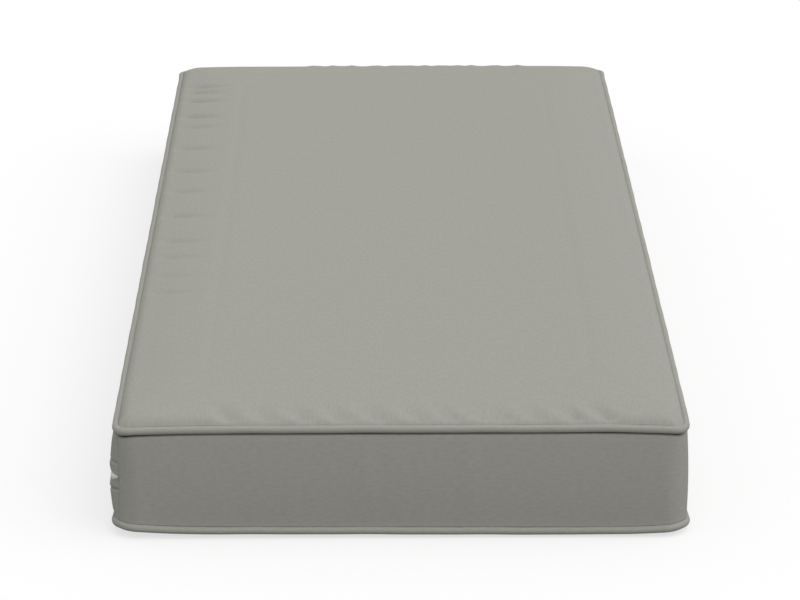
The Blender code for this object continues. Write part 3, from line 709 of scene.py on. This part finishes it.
def sewing_thread(name, colour):
    """Core-spun polyester thread: a shade darker than the cloth, with a soft sheen and a visible twist."""
    made, tree, shader = new_material(name, roughness=0.6, specular=0.4)
    place = add_node(tree, "ShaderNodeTexCoord", {}).outputs["Object"]
    plies = add_node(tree, "ShaderNodeTexNoise", {"Vector": place, "Scale": 1 / STITCH_GAP, "Detail": 2.0})
    light = {"Value": plies.outputs["Fac"], **NOISE_SPAN, "To Min": 0.85, "To Max": 1.1}
    give_surface(tree, shader, colour, add_node(tree, "ShaderNodeMapRange", light).outputs["Result"])
    return made


SEWING_THREAD = sewing_thread("core_spun_polyester_thread", STITCH_COLOUR)
zip_walk = walk_outline(180 - CORNER_SEAM, 180 + CORNER_SEAM)
from_head = zip_walk.along
from_foot = zip_walk.along[-1] - zip_walk.along
from_corner = np.minimum(from_head, from_foot)
mouth = smoothstep(from_corner / MOUTH_RUN)
zip_dip = seam_dip(from_corner)
at_foot = 1 - smoothstep((from_foot - GAPE_RUN) / GAPE_FADE)
folded_in = at_foot * smoothstep(from_foot / SEWN_FOLD_RUN)


def puffed(full_to):
    """How strongly the core pushes the gape out, from 0 to 1, in full up to this far from the seam."""
    return smoothstep(from_foot / PUFF_START) * (1 - smoothstep((from_foot - full_to) / PUFF_FADE))


def lip_rise(level):
    """How far a lip's edge is from mid-height: shut at both corner seams, open for the slider between."""
    at_head_seam = LIPS_SHUT + (MOUTH_HALF - LIPS_SHUT) * smoothstep(from_head / MOUTH_RUN)
    raised = LIPS_RAISED if level == "upper" else -LIPS_RAISED
    gape = LIPS_SHUT + raised + GAPE_SLOPES[level] * np.minimum(from_foot, GAPE_RUN)
    opened = smoothstep((from_foot - GAPE_RUN) / GAPE_EASE)
    return np.where(from_foot < from_head, gape + (MOUTH_HALF - gape) * opened, at_head_seam)


def sewn_rise(level):
    """How far the stitches are from mid-height, which is more where a placket gapes."""
    drawn, slope = SEWN_DRAWN[level]
    return SEWN_AT + (drawn + slope * from_foot) * at_foot


def placket_bulge(share):
    """How far the core pushes a placket out, from 0 to 1, at this share of the way from lip to seam."""
    if share < PLACKET_PEAK:
        return math.sin(math.pi / 2 * share / PLACKET_PEAK)
    down = (share - PLACKET_PEAK) / (1 - PLACKET_PEAK)
    return 1 - PLACKET_SLOPE * down - (1 - PLACKET_SLOPE) * down**PLACKET_TURN


def placket_rows(level):
    """Distances past the boxing's face and rises from mid-height, from the hem's end round to the seam."""
    edge = lip_rise(level)
    puff = LIP_PUFF * puffed(LIP_PUFF_TO)
    lip = SHUT_LIP + (LIP_OUT - SHUT_LIP) * mouth + puff
    hem = SHUT_HEM + (HEM_OUT - SHUT_HEM) * mouth + puff
    for rise in (HEM, HEM / 2, CLOTH):
        yield hem, edge + rise
    yield (lip + hem) / 2, edge
    if level == "upper":
        seam = [(out, height - MID_HEIGHT) for out, height in boxing_edge_top(zip_walk)]
    else:
        seam = [(out, MID_HEIGHT - height) for out, height in boxing_edge_base(zip_walk)][::-1]
    start = edge + CLOTH
    fine = np.linspace(0, PLACKET_FINE, LIP_STEPS + 1)
    coarse = np.linspace(PLACKET_FINE, 1, SEAM_STEPS + 1)[1:-1]
    for share in (*fine, *coarse):
        rise = start + (seam[0][1] - start) * share
        sewn = np.exp(-(((rise - sewn_rise(level)) / SEWN_WIDTH) ** 2))
        full = lip * (1 - smoothstep(share / LIP_FADE)) * (1 - placket_bulge(share))
        full = full + PLACKET_BULGE * mouth * placket_bulge(share)
        yield full - (SEWN_DEPTH * mouth + SEWN_FOLD * folded_in) * sewn, rise
    yield from seam


def add_stitches(level, line):
    """A row of stitches along a line of points on a placket's front."""
    starts = np.arange(MOUTH_RUN, zip_walk.along[-1] - MOUTH_RUN - STITCH, STITCH + STITCH_GAP)
    around = 2 * math.pi * np.arange(STITCH_FACETS) / STITCH_FACETS
    rings = ((0, 0.4, 0), (0.2, 1, 1), (0.8, 1, 1), (1, 0.4, 0))  # share along, thickness and lift
    points = []
    faces = []
    for start in starts:
        first = len(points)
        for share, size, lift in rings:
            x, y, z = (np.interp(start + STITCH * share, zip_walk.along, line[:, axis]) for axis in range(3))
            for turn in around:
                out = CLOTH / 2 + STITCH_THREAD * (lift - STITCH_SUNK + size * math.cos(turn))
                points.append((x - out, y, z + STITCH_THREAD * size * math.sin(turn)))
        for ring in range(len(rings) - 1):
            here = first + ring * STITCH_FACETS
            ahead = here + STITCH_FACETS
            for facet in range(STITCH_FACETS):
                beside = (facet + 1) % STITCH_FACETS
                faces.append([here + facet, here + beside, ahead + beside, ahead + facet])
        faces.append([first + facet for facet in reversed(range(STITCH_FACETS))])
        faces.append([ahead + facet for facet in range(STITCH_FACETS)])
    mesh = bpy.data.meshes.new(f"lip_stitches_{level}")
    mesh.from_pydata(points, [], faces)
    add_piece(mesh.name, mesh, SEWING_THREAD, "cover_cloth")


def add_placket(level, towards):
    """One placket with its hem, front and seam edge, and its row of stitches."""
    points = []
    for out, rise in placket_rows(level):
        points.append(boxing_point(zip_walk, out - zip_dip, MID_HEIGHT + towards * rise))
    points = np.stack(points)
    across = lengths_along(points)
    name = f"placket_cloth_{level}"
    node = f"zip_placket_{level}"
    placket = add_loft(name, points, across, zip_walk.along, COVER, "cover_cloth", [node])
    add_thickness(placket, CLOTH, sewn_edges(points.shape[:2], (-1,)))
    front = points[HEM_ROWS:]
    wanted = sewn_rise(level)
    line = []
    for column in range(len(zip_walk.along)):
        rises = towards * (front[:, column, 2] - MID_HEIGHT)
        line.append([np.interp(wanted[column], rises, front[:, column, axis]) for axis in range(3)])
    add_stitches(level, np.array(line))


add_placket("upper", 1)
add_placket("lower", -1)


# Zip tapes. White woven polyester tape on each side of the coil, sewn behind the lips and run on into
# the corner seams, where its end shows as a white wedge at the foot end.

TAPE_WIDTH = 0.014
TAPE_THICKNESS = 0.0008
TAPE_OUT = 0.0015  # past the boxing's face, behind the open lips
TAPE_SHUT_OUT = -0.0016  # the same at a corner seam
TAPE_PUSH = 0.0022  # how far the core pushes the lower tape's foot end out behind the lips
TAPE_PUFF = 0.0030  # how much further between them
BELOW_LIP, BELOW_LIP_RUN = 0.0006, 0.0020  # from the upper lip down to where that starts, and how fast
ABOVE_LIP, ABOVE_LIP_RUN = 0.0010, 0.0025  # the same from the lower lip up
TAPE_STEPS = 10
COIL_HALF = 0.0032  # from the middle of the closed chain to the tape
TAPE_GAP = 0.0002
TAPE_END_RISE = 0.0096  # how far the lower tape's foot end slants up past the coil's end
TAPE_END_FULL = 0.024  # from the corner seam to where it does so in full
TAPE_END_RUN = 0.016
TAPE_PUSH_TO = 0.017  # from the corner seam to where that push fades behind the swung pull, to leave it room
PULL_HALF = 0.0050  # half the height of that room
PULL_FADE = 0.0020
TAPES_MEET = 0.022  # from the head end's corner seam to where the tapes' edges have come together
TAPES_PART = 0.018  # length over which they come together, past the retainer
TAPE_COLOUR = "#F1EFEC"
HERRINGBONE = 0.0020  # real ribs are near 0.8 mm, drawn coarser so that they show
RIB = 0.0002


def woven_tape(name, colour):
    """Narrow woven polyester tape: bright white, with the slanting ribs of a herringbone weave."""
    made, tree, shader = new_material(name, roughness=0.8, specular=0.3)
    grain = add_node(tree, "ShaderNodeUVMap", {}, uv_map=GRAIN).outputs["UV"]
    period = math.pi / 10 / HERRINGBONE
    waves = {"Vector": grain, "Scale": period, "Distortion": 0.4}
    ribs = add_node(tree, "ShaderNodeTexWave", waves, bands_direction="DIAGONAL").outputs["Fac"]
    light = {"Value": ribs, "To Min": 0.90, "To Max": 1.02}
    shade = add_node(tree, "ShaderNodeMapRange", light).outputs["Result"]
    give_surface(tree, shader, colour, shade, {"Height": ribs, "Strength": 0.4, "Distance": RIB})
    return made


TAPE = woven_tape("woven_polyester_tape", TAPE_COLOUR)


def add_tape(level, towards):
    """One tape behind its placket's lip, from corner seam to corner seam."""
    out = TAPE_SHUT_OUT + (TAPE_OUT - TAPE_SHUT_OUT) * mouth
    past_coil = 1 - smoothstep((from_foot - TAPE_END_FULL) / TAPE_END_RUN) if level == "lower" else 0
    past_retainer = 1 - smoothstep((from_head - TAPES_MEET) / TAPES_PART)
    slant = TAPE_END_RISE * past_coil + COIL_HALF * past_retainer
    across = np.linspace(0, TAPE_WIDTH, TAPE_STEPS + 1)
    points = []
    for place in across:
        rise = COIL_HALF + TAPE_GAP + place - slant * (1 - place / TAPE_WIDTH)
        below_lip = lip_rise("upper") + rise
        above_lip = lip_rise("lower") - rise
        clear = smoothstep((below_lip - BELOW_LIP) / BELOW_LIP_RUN)
        clear = clear * smoothstep((above_lip - ABOVE_LIP) / ABOVE_LIP_RUN)
        below_pull = smoothstep((rise - PULL_HALF) / PULL_FADE)
        push_to = TAPE_PUSH_TO + (LIP_PUFF_TO - TAPE_PUSH_TO) * below_pull
        pushed = (TAPE_PUSH + TAPE_PUFF * clear) * puffed(push_to) if level == "lower" else 0
        height = MID_HEIGHT + towards * rise
        points.append(past_outline(zip_walk, lean(height) + out + pushed, height, corner_tightness(height)))
    name = f"tape_{level}"
    tape = add_loft(name, np.stack(points), across, zip_walk.along, TAPE, "zip_tape", [f"zip_tape_{level}"])
    add_thickness(tape, TAPE_THICKNESS)


add_tape("upper", 1)
add_tape("lower", -1)


# Zip coil. One nylon monofilament on each tape's edge, wound into a flat coil whose turns lock between
# the turns of the other half. The slider meshes them, and here they are closed along the whole side, but
# for an eye near the retainer, spread by the slider's post, which stands there when the zip is open.

coil_low, coil_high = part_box("zip_coil_upper")
COIL_PITCH = 0.0026  # real turns are near 1.7 mm apart, drawn coarser to keep the mesh light
COIL_WIRE = 0.00056
COIL_STEPS = 8  # sections in each turn
COIL_FACETS = 4
COIL_LOCK = 0.0006  # how far a turn reaches past the middle, between the other half's turns
EYE_PLACE = 0.0138  # from the retainer to the middle of the eye
EYE_HALF = 0.0012  # half the eye's width
EYE_REACH = 0.0028  # half its length, before it narrows
EYE_FADE = 0.0024
COIL_COLOUR = "#EFEEEA"
NYLON_IOR = 1.53


def drawn_nylon(name, colour):
    """Drawn nylon monofilament: milky, smooth and a little glossy, with faint bands from the winding."""
    made, tree, shader = new_material(name, roughness=0.38, specular=0.5)
    place = add_node(tree, "ShaderNodeTexCoord", {}).outputs["Object"]
    bands = add_node(tree, "ShaderNodeTexNoise", {"Vector": place, "Scale": 1 / COIL_PITCH, "Detail": 2.0})
    light = {"Value": bands.outputs["Fac"], **NOISE_SPAN, "To Min": 0.93, "To Max": 1.03}
    give_surface(tree, shader, colour, add_node(tree, "ShaderNodeMapRange", light).outputs["Result"])
    shader.inputs["IOR"].default_value = NYLON_IOR
    return made


NYLON = drawn_nylon("drawn_nylon_monofilament", COIL_COLOUR)


def add_coil(level, towards, start):
    """One half of the chain as a single wound wire, its first turn this far round."""
    half_turn = 0.5  # by which one half starts later than the other
    turns = math.floor((coil_high.y - coil_low.y - 2 * COIL_WIRE) / COIL_PITCH - half_turn)
    turn = start + np.linspace(0, 2 * math.pi * turns, turns * COIL_STEPS + 1)
    middle = (coil_low.x + coil_high.x) / 2
    deep = (coil_high.x - coil_low.x) / 2 - COIL_WIRE
    along = coil_low.y + COIL_WIRE + COIL_PITCH * turn / (2 * math.pi)
    eye_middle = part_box("zip_retainer")[0].y - EYE_PLACE
    spread = 1 - smoothstep((np.abs(along - eye_middle) - EYE_REACH) / EYE_FADE)
    lock = COIL_LOCK - (COIL_LOCK + EYE_HALF) * spread
    wide = (COIL_HALF + lock) / 2 - COIL_WIRE
    line = np.column_stack(
        (
            middle + deep * np.cos(turn),
            along,
            MID_HEIGHT + towards * ((COIL_HALF - lock) / 2 + wide * np.sin(turn)),
        )
    )
    ahead = np.gradient(line, axis=0)
    ahead /= np.linalg.norm(ahead, axis=1)[:, None]
    side = np.cross(ahead, (0, 1, 0))
    side /= np.linalg.norm(side, axis=1)[:, None]
    other = np.cross(ahead, side)
    around = 2 * math.pi * np.arange(COIL_FACETS) / COIL_FACETS
    wire = [math.cos(angle) * side + math.sin(angle) * other for angle in around]
    points = np.stack([line + COIL_WIRE * edge for edge in wire])
    across = np.arange(COIL_FACETS + 1) * COIL_WIRE
    node = f"zip_coil_{level}"
    coil = add_loft(f"coil_{level}", points, across, along, NYLON, "zip_coil", [node], tube=True)
    form = bmesh.new()
    form.from_mesh(coil.data)
    bmesh.ops.holes_fill(form, edges=[edge for edge in form.edges if edge.is_boundary])
    bmesh.ops.recalc_face_normals(form, faces=form.faces)
    form.to_mesh(coil.data)
    form.free()
    coil.data.shade_smooth()


add_coil("upper", 1, 0)
add_coil("lower", -1, math.pi)


# Zip metal. A die-cast slider with its swinging pull, two stops pressed on at the foot end and a retainer
# at the head end, all zinc with a bright plating that handling has dulled in patches.

METAL_COLOUR = "#C9C8C4"
SCRATCH = 0.0012  # real rubbing marks are finer, drawn coarser so that they show


def plated_zinc(name, colour):
    """Nickel-plated zinc casting: bright, with a cloudy polish and fine rubbing marks."""
    made, tree, shader = new_material(name, roughness=0.3, metallic=1.0)
    place = add_node(tree, "ShaderNodeTexCoord", {}).outputs["Object"]
    rubbed = add_node(tree, "ShaderNodeTexNoise", {"Vector": place, "Scale": 1 / SCRATCH, "Detail": 4.0})
    polish = {"Value": rubbed.outputs["Fac"], **NOISE_SPAN, "To Min": 0.22, "To Max": 0.42}
    gloss = add_node(tree, "ShaderNodeMapRange", polish).outputs["Result"]
    light = {"Value": rubbed.outputs["Fac"], **NOISE_SPAN, "To Min": 0.9, "To Max": 1.05}
    give_surface(tree, shader, colour, add_node(tree, "ShaderNodeMapRange", light).outputs["Result"])
    tree.links.new(gloss, shader.inputs["Roughness"])
    return made


PLATED = plated_zinc("nickel_plated_zinc", METAL_COLOUR)
for node in ("zip_slider", "zip_pull", "zip_stop_upper", "zip_stop_lower", "zip_retainer"):
    casting = frame["nodes"][node]
    casting.data.materials.clear()
    casting.data.materials.append(PLATED)


# Top panel. One piece of the cover cloth over the core, sewn into the top seam all round. The core crowns
# it, the corners draw it down, and the seam's gathers leave soft puckers along the left side and both ends.

PANEL_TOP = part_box("top_panel")[1].z - CLOTH / 2
TOP_EDGE = 0.0060  # from the boxing's face in to the panel's edge, beside the piping
EDGE_RISE = 0.0046  # of that edge above the piping's middle
EDGE_RADIUS = 0.0180  # of the round turn beside the piping
EDGE_ANGLE = 50  # degrees that the cloth leaves the piping at
FOOT_STEEPER = 10  # how many degrees more at the foot end
FOOT_FOLD = 0.0016  # radius of the hollow fold beside the piping there
FOOT_REACH = 0.150
CROWN_REACH = 0.130
CORNER_FADE = 0.070
LEFT_PUCKER = Pucker(depth=0.0108, width=0.0092, reach=0.110, peak=0.040, drift=-0.3)
LEFT_GATHERS = (
    *((0.818, 0.85), (0.778, 0.85), (0.718, 1.0), (0.610, 1.0), (0.540, 0.65), (0.400, 0.7), (0.257, 0.7)),
    *((0.137, 0.65), (-0.005, 0.7), (-0.145, 0.6), (-0.228, 0.55), (-0.328, 0.4), (-0.408, 0.5)),
)  # y and strength
RIGHT_PUCKER = Pucker(depth=0.0035, width=0.010, reach=0.030, peak=0.008, drift=-0.8)
RIGHT_GATHERS = ((-0.705, 1),)
FOOT_PUCKER = Pucker(depth=0.0085, width=0.014, reach=0.060, peak=0.012, drift=-0.6)
FOOT_GATHERS = (-0.255, -0.198, -0.142, -0.088, -0.030, 0.032, 0.080, 0.130, 0.162, 0.212, 0.268, 0.316)  # x
HEAD_BUMP = Pucker(depth=0.0030, width=0.011, reach=0.075, peak=0.019, drift=0)  # which stands up
HEAD_BUMPS = (-0.159, -0.120, -0.084, -0.033, 0.006, 0.035, 0.068, 0.102, 0.133, 0.164, 0.213, 0.259)
SETTLE_FRAMES = 8
SETTLE_CAP = 0.003
LOOSE = 0.9  # how freely the border settles
LOOSE_FROM, LOOSE_RUN = 0.004, 0.020  # from the seam to where it starts to, and how fast
LOOSE_TO, LOOSE_FADE = 0.130, 0.040
CLOTH_SETTINGS = {
    "quality": 5,
    "mass": 0.15,
    "tension_stiffness": 40,
    "compression_stiffness": 40,
    "shear_stiffness": 20,
    "bending_stiffness": 2,
    "pin_stiffness": 1,
    "use_pressure": True,
    "uniform_pressure_force": 0.6,
}


def crown(inset, near_foot):
    """How far the panel has risen from its edge: a round turn beside the piping, then a long slow rise."""
    steep = np.radians(EDGE_ANGLE + FOOT_STEEPER * near_foot)
    fold = FOOT_FOLD * near_foot
    fold_width = fold * np.sin(steep)
    folded = fold - np.sqrt(fold**2 - np.clip(inset, 0, fold_width) ** 2)
    turned = np.clip(np.sin(steep) - (inset - fold_width) / EDGE_RADIUS, 0, np.sin(steep))
    quick = folded + EDGE_RADIUS * (np.sqrt(1 - turned**2) - np.cos(steep))
    quick_rise = (fold + EDGE_RADIUS) * (1 - np.cos(steep))
    slow = 1 - (1 - np.clip(inset / CROWN_REACH, 0, 1)) ** 2
    return quick + (PANEL_TOP - TOP_SEAM - EDGE_RISE - quick_rise) * slow


def settle(piece, held):
    """Lets the sewn panel settle under the core's push, held at its seam, and keeps the settled form."""
    group = piece.vertex_groups.new(name="sewn")
    for point, weight in enumerate(held.T.ravel()):
        group.add([point], float(weight), "REPLACE")
    cloth = piece.modifiers.new("cloth", "CLOTH")
    for name, value in CLOTH_SETTINGS.items():
        setattr(cloth.settings, name, value)
    cloth.settings.vertex_group_mass = group.name
    cloth.settings.effector_weights.gravity = 0
    cloth.point_cache.frame_end = SETTLE_FRAMES
    for step in range(1, SETTLE_FRAMES + 1):
        scene.frame_set(step)
    settled = piece.evaluated_get(bpy.context.evaluated_depsgraph_get()).data
    was = np.array([point.co for point in piece.data.vertices])
    move = np.array([point.co for point in settled.vertices]) - was
    length = np.linalg.norm(move, axis=1)[:, None]
    move *= np.minimum(1, SETTLE_CAP / np.maximum(length, 1e-9))
    piece.modifiers.remove(cloth)
    piece.vertex_groups.clear()
    scene.frame_set(1)
    piece.data.vertices.foreach_set("co", (was + move).astype(np.float32).ravel())
    piece.data.update()


top_half = np.array((HALF_WIDTH, HALF_LENGTH)) - TOP_DRAW_IN - TOP_EDGE
top_corner = CORNER_RADIUS - TOP_TIGHTER - TOP_DRAW_IN - TOP_EDGE
top_plan = panel_plan(top_half, top_corner, (PANEL_COARSE, PANEL_FINE))
top_inset = panel_inset(top_plan, top_half, top_corner)
across, along = top_plan[..., 0], top_plan[..., 1]
top_run = panel_run(top_plan, top_half, top_corner)
top_pull = corner_pull(top_run, along > 0, TOP_PULL, TOP_PULL_REACH)
left_inset = top_half[0] + across
foot_inset = top_half[1] + along
near_foot = 1 - smoothstep(foot_inset / FOOT_REACH)
top_height = TOP_SEAM + EDGE_RISE + crown(top_inset, near_foot)
top_height -= top_pull * np.clip(1 - top_inset / CORNER_FADE, 0, 1) ** 2
top_height -= gathers(LEFT_PUCKER, LEFT_GATHERS, along, left_inset)
top_height -= gathers(FOOT_PUCKER, [(place, 1) for place in FOOT_GATHERS], across, foot_inset)
top_height -= gathers(RIGHT_PUCKER, RIGHT_GATHERS, along, top_half[0] - across)
top_height += gathers(HEAD_BUMP, [(place, 1) for place in HEAD_BUMPS], across, top_half[1] - along)
top_panel = add_panel("top_panel_cloth", top_plan, top_height, ["top_panel"])
past_seam = smoothstep((top_inset - LOOSE_FROM) / LOOSE_RUN)
in_border = 1 - smoothstep((top_inset - LOOSE_TO) / LOOSE_FADE)
settle(top_panel, 1 - LOOSE * past_seam * in_border)
add_thickness(top_panel, CLOTH, sewn_edges(top_inset.T.shape, ENDS, ENDS))


# Studio. A pale matt floor that runs out of sight, a broad soft lamp high over the right side and the foot
# end, an even surround, and the camera at the photograph's place, past the foot end and above.

FLOOR_HALF = 30
FLOOR_DROP = 0.0005  # below the base panel, so that the two faces don't coincide
FLOOR_COLOUR = "#9A9A98"
FLOOR_SEEN = "#A0A0A0"
WHITE = (1, 1, 1, 1)
FLOOR_GLOW = 0.67  # only as the camera sees it, so that the floor goes white away from the shadow
SURROUND = 0.65
LAMP = 1.15
LAMP_ANGLE = 70
LAMP_TILT = (14, 33)  # degrees towards the foot end and the right side
LENS = 147.6
CAMERA_PLACE = (-0.0467, -5.5818, 2.0538)
CAMERA_PITCH = 19.963
CAMERA_YAW = -0.557

floor_mesh = bpy.data.meshes.new("studio_floor")
corners = [(FLOOR_HALF * x, FLOOR_HALF * y, 0) for x, y in ((-1, -1), (1, -1), (1, 1), (-1, 1))]
floor_mesh.from_pydata(corners, [], [(0, 1, 2, 3)])
floor = add_object("studio_floor", floor_mesh)
floor.location.z = -FLOOR_DROP
matt, tree, shader = new_material("matt_studio_floor", roughness=1.0, specular=0.0)
seen = add_node(tree, "ShaderNodeLightPath", {}).outputs["Is Camera Ray"]
paints = {0: seen, 6: linear(FLOOR_COLOUR), 7: linear(FLOOR_SEEN)}
paint = add_node(tree, "ShaderNodeMix", paints, data_type="RGBA").outputs[2]
tree.links.new(paint, shader.inputs["Base Color"])
glow = add_node(tree, "ShaderNodeMath", {0: seen, 1: FLOOR_GLOW}, operation="MULTIPLY").outputs[0]
shader.inputs["Emission Color"].default_value = WHITE
tree.links.new(glow, shader.inputs["Emission Strength"])
floor_mesh.materials.append(matt)

world = bpy.data.worlds.new("even_surround")
scene.world = world
world.use_nodes = True
tree = world.node_tree
tree.nodes.clear()
path = add_node(tree, "ShaderNodeLightPath", {}).outputs
rays = {0: path["Is Glossy Ray"], 1: path["Is Transmission Ray"]}
mirrored = add_node(tree, "ShaderNodeMath", rays, operation="MAXIMUM").outputs[0]
rays = {0: path["Is Camera Ray"], 1: mirrored}
shown = add_node(tree, "ShaderNodeMath", rays, operation="MAXIMUM").outputs[0]
light = add_node(tree, "ShaderNodeBackground", {"Color": WHITE, "Strength": SURROUND}).outputs[0]
white = add_node(tree, "ShaderNodeBackground", {"Color": WHITE, "Strength": 1.0}).outputs[0]
both = add_node(tree, "ShaderNodeMixShader", {0: shown, 1: light, 2: white}).outputs[0]
add_node(tree, "ShaderNodeOutputWorld", {"Surface": both})

lamp_data = bpy.data.lights.new("overhead_lamp", "SUN")
lamp_data.energy = LAMP
lamp_data.angle = math.radians(LAMP_ANGLE)
lamp = add_object("overhead_lamp", lamp_data)
lamp.rotation_euler = (*np.radians(LAMP_TILT), 0)

camera_data = bpy.data.cameras.new("camera")
camera_data.lens = LENS
camera = add_object("camera", camera_data)
camera.location = CAMERA_PLACE
camera.rotation_euler = (math.radians(90 - CAMERA_PITCH), 0, math.radians(CAMERA_YAW))
scene.camera = camera
scene.view_settings.view_transform = "Standard"
